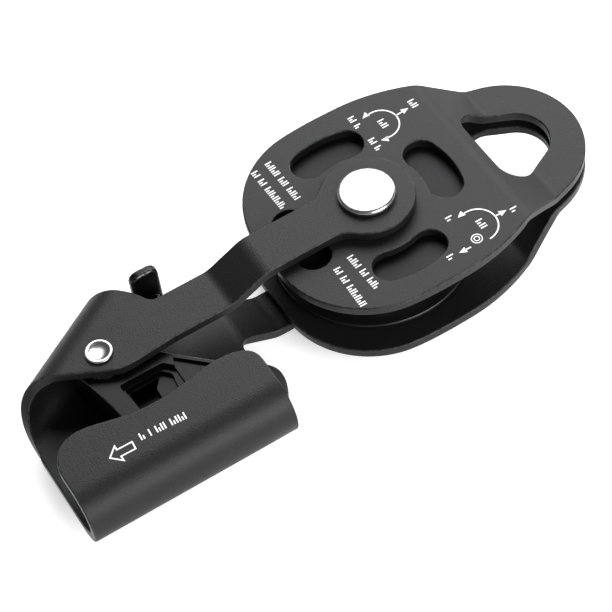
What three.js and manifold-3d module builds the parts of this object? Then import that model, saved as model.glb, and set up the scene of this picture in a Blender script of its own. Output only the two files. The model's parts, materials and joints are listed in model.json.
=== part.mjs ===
// Rope pulley with a swinging rope clamp: two swing cheeks and a grooved wheel on one axle, and a
// yoke folded from one sheet that carries a sprung, toothed cam. Millimetres, +Z along the axle.
// The shapes are drawn about the axle, and the finished group is moved so that its origin is at
// the middle of the eye that the pulley hangs from. +X points from the axle to the eye, and the
// rope channel of the clamp is on the -Y side.
import * as THREE from 'three';
import { mergeVertices } from 'three/addons/utils/BufferGeometryUtils.js';
import Module from 'manifold-3d';

const wasm = await Module();
wasm.setup();

// ---- driving dimensions ----
const SHEET = 3; // thickness of the cheeks and of the folded yoke
const FIT = 0.05; // radial and end clearance of running and pressed parts

const CHEEK_GAP = 17; // between the cheeks, beside the wheel
const CHEEK_HEAD_GAP = 2.8; // between the cheeks, at the eye
const CHEEK_STEP = [34.4, 47]; // the cheek steps inwards between these two distances
const CHEEK_CORNER = [-4.1, 6.5]; // centre of the corner arc
const CHEEK_CORNER_R = 28.3;
const CHEEK_CORNER_ANGLES = [103, 186];
const NOSE_CENTRE = 45.1;
const NOSE_R = 23.4;
const NOSE_HALF_ANGLE = 73.9;
const WINDOW_R = [17.6, 27.5];
const WINDOW_HALF_ANGLE = 16.4; // to the middle of each round end
const EYE_CENTRE = 48; // the origin of the finished part
const EYE_LOBE = [42.4, 8.3, 5.4]; // x, y and radius of the eye's two rear corners
const EYE_TIP = [49.4, 9.7]; // x and radius of the eye's front

const AXLE_R = 6;
const AXLE_SPIGOT_R = 4;
const AXLE_HEAD = [8.2, 2.1]; // radius and height
const ARM_INNER = 12.5; // height of the arm's inner face above the middle plane
const ARM_HALF_WIDTH = 7.1;
const ARM_EYE_R = 13.6;
const ARM_FILLET = 8;
const ARM_STEP = [-48.2, -36.6]; // the arm steps inwards between these two places
const CLAMP_INNER = 6.9; // half of the space between the clamp's plates
const CLAMP_OUTER = CLAMP_INNER + SHEET;

const PIN = [-85.8, 0]; // axis of the cam
const PIN_R = 3.5;
const PIN_HEAD_R = 3.95;
const PIN_HEAD_HEIGHT = 0.9;
const SWEEP_R = 21.2; // the plates end on this radius so that the lever can pass
const SWEEP_FILLET = 3;
const FOLD_START = [-69.8, 16.1]; // a point on the axis of the fold
const FOLD_ANGLE = 30.4; // between the fold's axis and the X axis
const FOLD_TOP_LENGTH = 32.6;
const FOLD_BOTTOM_LENGTH = 48.9;
const CHANNEL_X = [-112.3, -50.2];
const CHANNEL_Y = -33.8; // axis of the channel's round wall
const MERGE = 0.3; // how far joined stretches of the sheet run into each other

const WHEEL_R = 28.8;
const WHEEL_HALF = 7.9;
const TREAD_R = 20.8;
const GROOVE_HALF = 6.8;
const RIM_EASE = 0.4; // rounding of the wheel's rims
const WHEEL_STOP_R = 14.2; // the lip that the bearing is pressed against
const CLIP_GROOVE = [5.1, 6.3]; // height of the circlip's groove
const BEARING = { bore: 6.05, outer: 16, half: 5, pitch: 11, ball: 2.975, innerLand: 9.3, outerLand: 12.8 };
const BALLS = 7;
const TRACK_FIT = 0.12; // clearance of the balls in their tracks

const CAM_HALF = 6.4;
const CAM_HUB_R = 7.9;
const CAM_BORE_R = 4.65;
const CAM_WASHER_R = 6.4;
const CAM_REACH = 40.6; // radius of the toothed edge where it faces the channel squarely
const CAM_SPIRAL = Math.tan(Math.PI / 6); // growth of the toothed edge, per radian
const TEETH = 13;
const TOOTH_DEPTH = 0.9;
const LEVER_ANGLE = 31;
const LEVER_HALF = [2.2, 2.5]; // half width and half height of the lever's stem
const POCKET_FLOOR = 3.4; // heights of the floors of the cam's stepped pocket
const DEEP_FLOOR = -1.5;
const NOSE_TOP = 5.4;
const PAD = { x: [17.8, 26.4], y: [13.9, 16.6], half: 12.7, corner: 3 };
const SPRING = { radius: 5.8, wire: 0.45, turns: 3.5, pitch: 1.1, top: -1.9, leg: 9, legAngle: 30 };

// ---- materials ----
function paint(color, roughness, metalness) {
  return new THREE.MeshStandardMaterial({ color, roughness, metalness });
}

const anodised = () => paint(0x35363a, 0.55, 0.6);
const wheelBlack = () => paint(0x17181a, 0.35, 0.6);
const polishedSteel = () => paint(0xd4d5d6, 0.2, 1);
const bearingSteel = () => paint(0xb6b8ba, 0.25, 1);
const camBlack = () => paint(0x232427, 0.5, 0.7);
const bronze = () => paint(0x9a7440, 0.4, 0.9);
const blackPlastic = () => paint(0x1a1a1b, 0.5, 0);

// ---- helpers ----
const rad = THREE.MathUtils.degToRad;

function toSolid(geometry) {
  const bare = geometry.clone();
  bare.deleteAttribute('normal');
  bare.deleteAttribute('uv');
  const merged = mergeVertices(bare, 1e-4);
  return new wasm.Manifold(new wasm.Mesh({
    numProp: 3,
    vertProperties: new Float32Array(merged.attributes.position.array),
    triVerts: new Uint32Array(merged.index.array),
  }));
}

function fromSolid(solid) {
  const mesh = solid.getMesh();
  const geometry = new THREE.BufferGeometry();
  geometry.setAttribute('position', new THREE.BufferAttribute(new Float32Array(mesh.vertProperties), 3));
  geometry.setIndex(new THREE.BufferAttribute(new Uint32Array(mesh.triVerts), 1));
  geometry.computeVertexNormals();
  return geometry;
}

// A flat outline given thickness from z = low to z = high.
function plate(shape, low, high, curveSegments = 8) {
  const geometry = new THREE.ExtrudeGeometry(shape, { depth: high - low, bevelEnabled: false, curveSegments });
  return geometry.translate(0, 0, low);
}

// A profile drawn in X and Z, drawn out along Y to both sides of the middle.
function strip(shape, halfWidth) {
  return plate(shape, -halfWidth, halfWidth).rotateX(Math.PI / 2);
}

// A closed profile of radius and height turned about the Z axis.
function turned(points, segments = 36) {
  const loop = points.map(([r, z]) => new THREE.Vector2(r, z));
  if (THREE.ShapeUtils.isClockWise(loop)) loop.reverse();
  if (points[0][0] > 0) loop.push(loop[0].clone());
  return new THREE.LatheGeometry(loop, segments).rotateX(Math.PI / 2);
}

function ring(inner, outer, low, high, segments = 28) {
  return turned([[inner, low], [outer, low], [outer, high], [inner, high]], segments);
}

function drill(radius, x, y, low, high, segments = 14) {
  const shape = new THREE.Shape().absarc(x, y, radius, 0, 2 * Math.PI);
  return toSolid(plate(shape, low, high, segments));
}

function outline(points) {
  return new THREE.Shape(points.map(([x, y]) => new THREE.Vector2(x, y)));
}

function part(name, geometry, material) {
  const mesh = new THREE.Mesh(geometry, material);
  mesh.name = name;
  return mesh;
}

function mirroredInZ(solid) {
  return solid.mirror([0, 0, 1]);
}

// ---- cheeks ----
function cheekOutline() {
  const [cx, cy] = CHEEK_CORNER;
  const [first, last] = CHEEK_CORNER_ANGLES.map(rad);
  const nose = rad(NOSE_HALF_ANGLE);
  const shape = new THREE.Shape();
  shape.absarc(cx, -cy, CHEEK_CORNER_R, -last, -first);
  shape.bezierCurveTo(-4.5, -35.25, 4.5, -35.2, 12, -34.9);
  shape.bezierCurveTo(20, -34.5, 28.6, -32, 35, -28.7);
  shape.bezierCurveTo(40.5, -26.4, 46.1, -24, 51.6, -22.48);
  shape.absarc(NOSE_CENTRE, 0, NOSE_R, -nose, nose);
  shape.bezierCurveTo(46.1, 24, 40.5, 26.4, 35, 28.7);
  shape.bezierCurveTo(28.6, 32, 20, 34.5, 12, 34.9);
  const join = [cx + CHEEK_CORNER_R * Math.cos(first), cy + CHEEK_CORNER_R * Math.sin(first)];
  shape.bezierCurveTo(4.5, 35.2, -4.5, 35.25, ...join);
  shape.absarc(cx, cy, CHEEK_CORNER_R, first, last);
  return shape;
}

// A curved slot with round ends, its middle at the given angle.
function windowOutline(middle) {
  const [inner, outer] = WINDOW_R;
  const centre = (inner + outer) / 2;
  const end = (outer - inner) / 2;
  const half = rad(WINDOW_HALF_ANGLE);
  const low = middle - half;
  const high = middle + half;
  const shape = new THREE.Shape();
  shape.absarc(0, 0, outer, low, high);
  shape.absarc(centre * Math.cos(high), centre * Math.sin(high), end, high, high + Math.PI);
  shape.absarc(0, 0, inner, high, low, true);
  shape.absarc(centre * Math.cos(low), centre * Math.sin(low), end, low + Math.PI, low + 2 * Math.PI);
  return shape;
}

// The eye is the rounded triangle around three circles.
function eyeOutline() {
  const [lobeX, lobeY, lobeR] = EYE_LOBE;
  const [tipX, tipR] = EYE_TIP;
  const dx = tipX - lobeX;
  const along = Math.atan2(-lobeY, dx);
  const tangent = along + Math.acos((lobeR - tipR) / Math.hypot(dx, lobeY));
  const shape = new THREE.Shape();
  shape.absarc(tipX, 0, tipR, -tangent, tangent);
  shape.absarc(lobeX, lobeY, lobeR, tangent, Math.PI);
  shape.absarc(lobeX, -lobeY, lobeR, Math.PI, 2 * Math.PI - tangent);
  return shape;
}

function cheekSolid() {
  const wide = CHEEK_GAP / 2;
  const narrow = CHEEK_HEAD_GAP / 2;
  const [start, end] = CHEEK_STEP;
  const slope = Math.atan2(wide - narrow, end - start);
  const shift = SHEET * Math.tan(slope / 2);
  const profile = outline([
    [-60, wide], [start - shift, wide], [end - shift, narrow], [90, narrow],
    [90, narrow + SHEET], [end, narrow + SHEET], [start, wide + SHEET], [-60, wide + SHEET],
  ]);
  let solid = toSolid(strip(profile, 60)).intersect(toSolid(plate(cheekOutline(), 0, 20, 7)));
  for (let i = 0; i < 4; i++) {
    solid = solid.subtract(toSolid(plate(windowOutline(i * Math.PI / 2), 0, 20, 4)));
  }
  solid = solid.subtract(toSolid(plate(eyeOutline(), 0, 20, 6)));
  return solid.subtract(drill(AXLE_R + FIT, 0, 0, 0, 20));
}

// ---- yoke: two arms, the clamp's two plates, the fold that joins them and the rope channel ----
const foldAlong = [-Math.cos(rad(FOLD_ANGLE)), -Math.sin(rad(FOLD_ANGLE))];
const foldOut = [-Math.sin(rad(FOLD_ANGLE)), Math.cos(rad(FOLD_ANGLE))];

function onFold(along, out = 0) {
  return [0, 1].map((k) => FOLD_START[k] + along * foldAlong[k] + out * foldOut[k]);
}

function armOutline() {
  const far = ARM_HALF_WIDTH + ARM_FILLET;
  const reach = ARM_EYE_R + ARM_FILLET;
  const filletX = -Math.sqrt(reach * reach - far * far);
  const turn = Math.atan2(far, -filletX);
  const shape = new THREE.Shape();
  shape.moveTo(ARM_STEP[0] - 4, ARM_HALF_WIDTH);
  shape.lineTo(ARM_STEP[0] - 4, -ARM_HALF_WIDTH);
  shape.lineTo(filletX, -ARM_HALF_WIDTH);
  shape.absarc(filletX, -far, ARM_FILLET, Math.PI / 2, turn, true);
  shape.absarc(0, 0, ARM_EYE_R, Math.PI + turn, 3 * Math.PI - turn);
  shape.absarc(filletX, far, ARM_FILLET, -turn, -Math.PI / 2, true);
  return shape;
}

// The far edge that both plates share: a fillet from the arm, then the lever's sweep to the fold.
function farEdge(shape) {
  const filletY = ARM_HALF_WIDTH + SWEEP_FILLET;
  const reach = SWEEP_R + SWEEP_FILLET;
  const filletX = PIN[0] + Math.sqrt(reach * reach - filletY * filletY);
  const turn = Math.asin(filletY / reach);
  const foldDistance = (PIN[0] - FOLD_START[0]) * foldOut[0] + (PIN[1] - FOLD_START[1]) * foldOut[1];
  const last = Math.PI / 2 + rad(FOLD_ANGLE) - Math.acos((MERGE - foldDistance) / SWEEP_R);
  shape.lineTo(ARM_STEP[0], ARM_HALF_WIDTH);
  shape.lineTo(filletX, ARM_HALF_WIDTH);
  shape.absarc(filletX, filletY, SWEEP_FILLET, -Math.PI / 2, -Math.PI + turn, true);
  shape.absarc(PIN[0], PIN[1], SWEEP_R, turn, last);
}

function topPlateOutline() {
  const shape = new THREE.Shape();
  shape.moveTo(ARM_STEP[0], -ARM_HALF_WIDTH);
  farEdge(shape);
  shape.lineTo(...onFold(FOLD_TOP_LENGTH, MERGE));
  shape.lineTo(...onFold(FOLD_TOP_LENGTH));
  shape.lineTo(-86.5, -6.5);
  shape.quadraticCurveTo(-83.2, -8.2, -80, -8);
  shape.quadraticCurveTo(-74, -7.7, -66, -ARM_HALF_WIDTH);
  return shape;
}

function bottomPlateOutline() {
  const [left, right] = CHANNEL_X;
  const shape = new THREE.Shape();
  shape.moveTo(-45, -ARM_HALF_WIDTH);
  shape.lineTo(-45, ARM_HALF_WIDTH);
  farEdge(shape);
  shape.lineTo(...onFold(FOLD_BOTTOM_LENGTH, MERGE));
  shape.lineTo(left, -8.7);
  shape.lineTo(left, CHANNEL_Y - MERGE);
  shape.lineTo(right, CHANNEL_Y - MERGE);
  shape.bezierCurveTo(-46.5, -31.5, -43.9, -27.5, -43.9, -23);
  shape.bezierCurveTo(-43.9, -18.5, -48.6, -17.5, -48.6, -12);
  shape.bezierCurveTo(-48.6, -8.8, -48, -ARM_HALF_WIDTH, -45, -ARM_HALF_WIDTH);
  return shape;
}

function flapOutline() {
  const [left, right] = CHANNEL_X;
  const shape = new THREE.Shape();
  shape.moveTo(left, CHANNEL_Y - MERGE);
  shape.lineTo(right, CHANNEL_Y - MERGE);
  shape.lineTo(right, -27);
  shape.bezierCurveTo(right, -21.5, -55, -20, -60.5, -20);
  shape.bezierCurveTo(-68, -20, -72, -22.3, -82, -22.3);
  shape.bezierCurveTo(-91, -22.3, -97, -18.6, -103, -18.6);
  shape.bezierCurveTo(-108.5, -18.6, left, -23.5, left, -28.5);
  return shape;
}

// Half a tube: the sheet bent round by 180 degrees. It opens along -x and runs along +z.
function bentSheet(length) {
  const shape = new THREE.Shape();
  shape.absarc(0, 0, CLAMP_OUTER, -Math.PI / 2, Math.PI / 2);
  shape.absarc(0, 0, CLAMP_INNER, Math.PI / 2, -Math.PI / 2, true);
  return plate(shape, 0, length, 9);
}

function basis(xAxis, zAxis, origin) {
  const x = new THREE.Vector3(xAxis[0], xAxis[1], 0);
  const z = new THREE.Vector3(zAxis[0], zAxis[1], 0);
  const matrix = new THREE.Matrix4().makeBasis(x, new THREE.Vector3(0, 0, 1), z);
  return matrix.setPosition(origin[0], origin[1], 0);
}

function foldSolid() {
  const back = foldAlong.map((v) => -v);
  const tube = bentSheet(FOLD_BOTTOM_LENGTH).applyMatrix4(basis(foldOut, back, onFold(FOLD_BOTTOM_LENGTH)));
  const middle = (FOLD_TOP_LENGTH + FOLD_BOTTOM_LENGTH) / 2;
  const slant = (FOLD_BOTTOM_LENGTH - FOLD_TOP_LENGTH) / (2 * CLAMP_OUTER);
  const endAt = (z) => middle - slant * z;
  const waste = outline([[endAt(-12), -12], [80, -12], [80, 12], [endAt(12), 12]]);
  const endCut = plate(waste, -2, 14).applyMatrix4(basis(foldAlong, foldOut, FOLD_START));
  const sweep = new THREE.Shape();
  sweep.absarc(PIN[0], PIN[1], SWEEP_R, Math.PI / 2 + rad(FOLD_ANGLE), 0, true);
  sweep.absarc(PIN[0], PIN[1], 3 * SWEEP_R, 0, Math.PI / 2 + rad(FOLD_ANGLE));
  return toSolid(tube).subtract(toSolid(endCut)).subtract(toSolid(plate(sweep, -12, 12, 16)));
}

function yokeFrame() {
  const slope = Math.atan2(ARM_INNER - CLAMP_INNER, ARM_STEP[1] - ARM_STEP[0]);
  const shift = SHEET * Math.tan(slope / 2);
  const armOuter = ARM_INNER + SHEET;
  const profile = outline([
    [-60, CLAMP_INNER], [ARM_STEP[0] + shift, CLAMP_INNER], [ARM_STEP[1] + shift, ARM_INNER],
    [30, ARM_INNER], [30, armOuter], [ARM_STEP[1], armOuter], [ARM_STEP[0], CLAMP_OUTER], [-60, CLAMP_OUTER],
  ]);
  const arm = toSolid(strip(profile, 30)).intersect(toSolid(plate(armOutline(), 0, 20, 7)));
  const top = toSolid(plate(topPlateOutline(), CLAMP_INNER, CLAMP_OUTER, 7));
  const bottom = toSolid(plate(bottomPlateOutline(), -CLAMP_OUTER, -CLAMP_INNER, 7));
  const flap = toSolid(plate(flapOutline(), CLAMP_INNER, CLAMP_OUTER, 7));
  const channelLength = CHANNEL_X[1] - CHANNEL_X[0];
  const channel = bentSheet(channelLength).applyMatrix4(basis([0, -1], [-1, 0], [CHANNEL_X[1], CHANNEL_Y]));
  let solid = arm.add(mirroredInZ(arm)).add(top).add(bottom).add(flap);
  solid = solid.add(foldSolid()).add(toSolid(channel));
  solid = solid.subtract(drill(PIN_R + FIT, ...PIN, -20, 20, 12));
  return fromSolid(solid.subtract(drill(AXLE_R + FIT, 0, 0, -20, 20)));
}

// ---- axle and what it clamps ----
function axle() {
  const [headR, headHeight] = AXLE_HEAD;
  const outer = ARM_INNER + SHEET;
  const top = outer + headHeight;
  return turned([
    [0, -top], [AXLE_SPIGOT_R, -top], [AXLE_SPIGOT_R, -outer], [AXLE_R, -outer], [AXLE_R, outer],
    [headR, outer], [headR, top - 0.5], [headR - 0.5, top], [0, top],
  ]);
}

function axleEndCap() {
  const [headR, headHeight] = AXLE_HEAD;
  const inner = -ARM_INNER - SHEET - FIT;
  const end = -ARM_INNER - SHEET - headHeight;
  const bore = AXLE_SPIGOT_R + FIT;
  return turned([[bore, inner], [bore, end], [headR - 0.5, end], [headR, end + 0.5], [headR, inner]]);
}

// ---- wheel and ball bearing ----
function sheave() {
  const rim = WHEEL_R - RIM_EASE;
  const [clipLow, clipHigh] = CLIP_GROOVE;
  const groove = [];
  for (let i = 0; i <= 8; i++) {
    const a = Math.PI * (i / 8);
    groove.push([rim - (rim - TREAD_R) * Math.sin(a) ** 0.8, GROOVE_HALF * Math.cos(a)]);
  }
  const bore = BEARING.outer + FIT;
  const profile = [
    [WHEEL_STOP_R, -WHEEL_HALF], [rim, -WHEEL_HALF],
    [WHEEL_R, RIM_EASE - WHEEL_HALF], [WHEEL_R, -GROOVE_HALF - 0.3],
    ...groove.reverse(),
    [WHEEL_R, GROOVE_HALF + 0.3], [WHEEL_R, WHEEL_HALF - RIM_EASE], [rim, WHEEL_HALF],
    [bore, WHEEL_HALF], [bore, clipHigh], [bore + 0.8, clipHigh], [bore + 0.8, clipLow], [bore, clipLow],
    [bore, -BEARING.half - FIT], [WHEEL_STOP_R, -BEARING.half - FIT],
  ];
  return turned(profile, 48);
}

function circlip() {
  const shape = new THREE.Shape();
  shape.absarc(0, 0, BEARING.outer + 0.7, rad(14), rad(346));
  shape.absarc(0, 0, BEARING.outer - 1.2, rad(346), rad(14), true);
  return plate(shape, CLIP_GROOVE[0] + 0.1, CLIP_GROOVE[1] - 0.1, 12);
}

// The ball track cut into a race, as points of radius and height from one land to the other.
function track(land, sign) {
  const r = BEARING.ball + TRACK_FIT;
  const half = Math.acos(Math.abs(land - BEARING.pitch) / r);
  const points = [];
  for (let i = -2; i <= 2; i++) {
    const a = half * (i / 2);
    points.push([BEARING.pitch + sign * r * Math.cos(a), r * Math.sin(a)]);
  }
  return points;
}

function outerRace() {
  const { outer, outerLand, half } = BEARING;
  return turned([[outer, -half], [outer, half], [outerLand, half], ...track(outerLand, 1).reverse(),
    [outerLand, -half]]);
}

function innerRace() {
  const { bore, innerLand, half } = BEARING;
  return turned([[bore, half], [bore, -half], [innerLand, -half], ...track(innerLand, -1), [innerLand, half]]);
}

function ballAngle(i) {
  return (2 * Math.PI * i) / BALLS;
}

function cage() {
  let solid = toSolid(ring(10, 12, -3.9, 0.8, 35));
  for (let i = 0; i < BALLS; i++) {
    const pocket = new THREE.CylinderGeometry(3.2, 3.2, 6, 12).rotateZ(Math.PI / 2);
    pocket.translate(BEARING.pitch, 0, 0).rotateZ(ballAngle(i));
    solid = solid.subtract(toSolid(pocket));
  }
  return fromSolid(solid);
}

function ball(i) {
  const geometry = new THREE.SphereGeometry(BEARING.ball, 12, 8).rotateX(Math.PI / 2);
  return geometry.translate(BEARING.pitch * Math.cos(ballAngle(i)), BEARING.pitch * Math.sin(ballAngle(i)), 0);
}

// ---- cam, drawn about its own axis; the rope side is -Y ----
function spiral(degrees, depth = 0) {
  const r = CAM_REACH * Math.exp(-CAM_SPIRAL * rad(degrees - 60)) - depth;
  return [r * Math.cos(rad(degrees)), -r * Math.sin(rad(degrees))];
}

function camOutline() {
  const first = 94;
  const last = 55;
  const step = (first - last) / TEETH;
  const shape = new THREE.Shape();
  shape.absarc(0, 0, CAM_HUB_R, rad(25), rad(200));
  shape.quadraticCurveTo(-5, -12, -3.9, -20);
  shape.lineTo(-3.6, -28.6);
  for (let i = 0; i < TEETH; i++) {
    const angle = first - i * step;
    shape.lineTo(...spiral(angle, TOOTH_DEPTH));
    shape.lineTo(...spiral(angle - 0.8 * step));
  }
  shape.lineTo(...spiral(last, TOOTH_DEPTH));
  shape.quadraticCurveTo(27.6, -30, 25.9, -18);
  shape.lineTo(17.9, -10);
  shape.quadraticCurveTo(11.5, -3.6, CAM_HUB_R * Math.cos(rad(25)), CAM_HUB_R * Math.sin(rad(25)));
  return shape;
}

function lever() {
  const [halfWidth, halfHeight] = LEVER_HALF;
  const stem = outline([[0, -halfWidth], [28.5, -halfWidth], [26, halfWidth], [0, halfWidth]]);
  return toSolid(plate(stem, -halfHeight, halfHeight).rotateZ(rad(LEVER_ANGLE)));
}

function thumbPad() {
  const [x0, x1] = PAD.x;
  const shape = new THREE.Shape();
  for (const [cx, cz, a] of [[x1, -1, -90], [x1, 1, 0], [x0, 1, 90], [x0, -1, 180]]) {
    const inX = cx === x1 ? -PAD.corner : PAD.corner;
    shape.absarc(cx + inX, cz * (PAD.half - PAD.corner), PAD.corner, rad(a), rad(a + 90));
  }
  return toSolid(plate(shape, -PAD.y[1], -PAD.y[0], 3).rotateX(Math.PI / 2));
}

// The gap in the hub's wall that lets the spring's leg out over the whole travel of the cam.
function springExitOutline() {
  const shape = new THREE.Shape();
  shape.absarc(0, 0, 10, rad(36), rad(88));
  shape.absarc(0, 0, 5, rad(88), rad(36), true);
  return shape;
}

function camSolid() {
  const shallow = outline([[0.3, -10.4], [13.2, -10.6], [15.6, -13.2], [15.6, -24.5], [1, -24.5]]);
  const deep = outline([[1.6, -11.8], [10.8, -11.8], [8.4, -15], [8.4, -23], [2.2, -23]]);
  const nose = outline([[16.6, -10.4], [28, -21.8], [28, -30], [15.6, -30], [15.6, -13.2]]);
  const springSeat = drill(6.9, 0, 0, -CAM_HALF - 1, -1.4, 12);
  const springExit = toSolid(plate(springExitOutline(), -CAM_HALF - 1, -4.9));
  let solid = toSolid(plate(camOutline(), -CAM_HALF, CAM_HALF, 6)).add(lever()).add(thumbPad());
  const above = CAM_HALF + 1;
  solid = solid.subtract(toSolid(plate(shallow, POCKET_FLOOR, above)));
  solid = solid.subtract(toSolid(plate(deep, DEEP_FLOOR, above)));
  solid = solid.subtract(toSolid(plate(nose, NOSE_TOP, above)));
  solid = solid.subtract(springSeat).subtract(springExit);
  return solid.subtract(drill(CAM_BORE_R, 0, 0, -20, 20, 12));
}

function camPin() {
  const low = CLAMP_OUTER;
  const high = CLAMP_OUTER + PIN_HEAD_HEIGHT;
  return turned([
    [0, -high + 0.5], [1.8, -high + 0.5], [3.2, -high], [PIN_HEAD_R - 0.2, -high], [PIN_HEAD_R, -high + 0.2],
    [PIN_HEAD_R, -low], [PIN_R, -low], [PIN_R, low], [PIN_HEAD_R, low], [PIN_HEAD_R, high - 0.2],
    [PIN_HEAD_R - 0.2, high], [3.2, high], [1.8, high - 0.5], [0, high - 0.5],
  ], 24);
}

// A torsion spring round the pin. Its straight leg rests on the inside of the fold.
class SpringLine extends THREE.Curve {
  getPoint(t, target = new THREE.Vector3()) {
    const { radius, turns, pitch, top, leg, legAngle } = SPRING;
    const coilLength = 2 * Math.PI * radius * turns;
    const along = t * (coilLength + leg);
    const wound = Math.min(along, coilLength);
    const a = rad(legAngle) + (wound - coilLength) / radius;
    const beyond = along - wound;
    const x = radius * Math.cos(a) - beyond * Math.sin(a);
    const y = radius * Math.sin(a) + beyond * Math.cos(a);
    return target.set(x, y, top - (pitch * wound) / (2 * Math.PI * radius));
  }
}

function camSpring() {
  const section = new THREE.Shape().absarc(0, 0, SPRING.wire, 0, 2 * Math.PI);
  return new THREE.ExtrudeGeometry(section, {
    steps: 60, bevelEnabled: false, curveSegments: 3, extrudePath: new SpringLine(),
  });
}

// ---- assembly ----
const front = cheekSolid();
const washerLow = ARM_INNER - 1 + FIT;
const washerHigh = ARM_INNER - FIT;
const spacerLow = BEARING.half + FIT;
const spacerHigh = CHEEK_GAP / 2 - FIT;
const axleBore = AXLE_R + FIT;

const pulley = new THREE.Group();
pulley.add(
  part('front_cheek', fromSolid(front), anodised()),
  part('rear_cheek', fromSolid(mirroredInZ(front)), anodised()),
  part('yoke_frame', yokeFrame(), anodised()),
  part('axle', axle(), polishedSteel()),
  part('axle_end_cap', axleEndCap(), polishedSteel()),
  part('front_arm_washer', ring(axleBore, 11.4, washerLow, washerHigh), blackPlastic()),
  part('rear_arm_washer', ring(axleBore, 11.4, -washerHigh, -washerLow), blackPlastic()),
  part('front_spacer', ring(axleBore, 8.8, spacerLow, spacerHigh), bronze()),
  part('rear_spacer', ring(axleBore, 8.8, -spacerHigh, -spacerLow), bronze()),
  part('sheave', sheave(), wheelBlack()),
  part('bearing_circlip', circlip(), bearingSteel()),
  part('bearing_outer_race', outerRace(), bearingSteel()),
  part('bearing_inner_race', innerRace(), bearingSteel()),
  part('front_bearing_shield', ring(9.35, 12.75, 4.3, 4.7), bearingSteel()),
  part('rear_bearing_shield', ring(9.35, 12.75, -4.7, -4.3), bearingSteel()),
  part('bearing_cage', cage(), bronze()),
);
for (let i = 0; i < BALLS; i++) pulley.add(part(`bearing_ball_${i + 1}`, ball(i), bearingSteel()));

const camWasherLow = CAM_HALF + FIT;
const camWasherHigh = CLAMP_INNER - FIT;
const pinBore = PIN_R + FIT;
const camGroup = new THREE.Group();
camGroup.position.set(PIN[0], PIN[1], 0);
camGroup.add(
  part('cam', fromSolid(camSolid()), camBlack()),
  part('cam_pin', camPin(), polishedSteel()),
  part('cam_bush', ring(pinBore, CAM_BORE_R - FIT, -CAM_HALF, CAM_HALF, 24), bronze()),
  part('front_cam_washer', ring(pinBore, CAM_WASHER_R, camWasherLow, camWasherHigh, 24), polishedSteel()),
  part('rear_cam_washer', ring(pinBore, CAM_WASHER_R, -camWasherHigh, -camWasherLow, 24), polishedSteel()),
  part('cam_spring', camSpring(), bearingSteel()),
);
pulley.add(camGroup);
pulley.position.x = -EYE_CENTRE;

export default pulley;
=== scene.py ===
import json
import math

import bmesh
import bpy
import numpy as np
from mathutils import Matrix, Vector

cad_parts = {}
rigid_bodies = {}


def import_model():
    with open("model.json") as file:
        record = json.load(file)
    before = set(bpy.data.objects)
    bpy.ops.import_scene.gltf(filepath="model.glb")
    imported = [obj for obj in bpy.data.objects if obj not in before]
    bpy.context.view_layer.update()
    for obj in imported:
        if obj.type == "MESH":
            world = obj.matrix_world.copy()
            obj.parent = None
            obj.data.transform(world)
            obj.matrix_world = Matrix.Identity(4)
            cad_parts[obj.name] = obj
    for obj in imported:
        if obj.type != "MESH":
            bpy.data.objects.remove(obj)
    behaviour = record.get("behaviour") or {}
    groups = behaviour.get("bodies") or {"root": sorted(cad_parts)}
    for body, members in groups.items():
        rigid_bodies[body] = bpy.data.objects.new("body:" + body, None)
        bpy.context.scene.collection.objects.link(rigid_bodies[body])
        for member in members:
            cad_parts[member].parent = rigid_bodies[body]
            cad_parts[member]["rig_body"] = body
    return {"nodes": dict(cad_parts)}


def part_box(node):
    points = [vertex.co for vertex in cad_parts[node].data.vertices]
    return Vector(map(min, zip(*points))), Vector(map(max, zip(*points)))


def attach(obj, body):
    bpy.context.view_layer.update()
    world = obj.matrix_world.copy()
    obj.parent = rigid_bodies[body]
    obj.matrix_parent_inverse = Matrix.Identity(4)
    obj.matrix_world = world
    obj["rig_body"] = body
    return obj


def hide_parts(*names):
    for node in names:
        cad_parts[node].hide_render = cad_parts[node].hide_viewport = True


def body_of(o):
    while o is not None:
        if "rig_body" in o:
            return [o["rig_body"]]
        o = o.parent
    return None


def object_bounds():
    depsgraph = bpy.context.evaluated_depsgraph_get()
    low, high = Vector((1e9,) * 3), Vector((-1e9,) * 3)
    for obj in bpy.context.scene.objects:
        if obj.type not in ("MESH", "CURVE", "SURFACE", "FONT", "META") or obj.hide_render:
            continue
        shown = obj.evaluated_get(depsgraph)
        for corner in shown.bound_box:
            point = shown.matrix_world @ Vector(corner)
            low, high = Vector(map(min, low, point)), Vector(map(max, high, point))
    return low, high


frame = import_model()
cad_low, cad_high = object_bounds()

# ---- camera ----
# A long lens about 62 cm from the pulley, high on its near side and a little rolled. It looks between the
# wheel and the clamp, so that the clamp comes towards the lower left corner and the eye to the upper right.
AIM = Vector((-0.0769, -0.0124, 0))
DISTANCE = 0.6239
BEARING_ANGLE = math.radians(-24.12)
HEIGHT_ANGLE = math.radians(54.04)
ROLL = math.radians(-8.86)
LENS = 133.1

away = Vector((
    math.sin(BEARING_ANGLE) * math.cos(HEIGHT_ANGLE),
    -math.cos(BEARING_ANGLE) * math.cos(HEIGHT_ANGLE),
    math.sin(HEIGHT_ANGLE),
))
lens = bpy.data.cameras.new("studio_camera")
lens.sensor_width = 36
lens.lens = LENS
camera = bpy.data.objects.new("studio_camera", lens)
camera.matrix_world = (
    Matrix.Translation(AIM + DISTANCE * away)
    @ (-away).to_track_quat("-Z", "Y").to_matrix().to_4x4()
    @ Matrix.Rotation(ROLL, 4, "Z")
)
bpy.context.scene.collection.objects.link(camera)
bpy.context.scene.camera = camera

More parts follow.
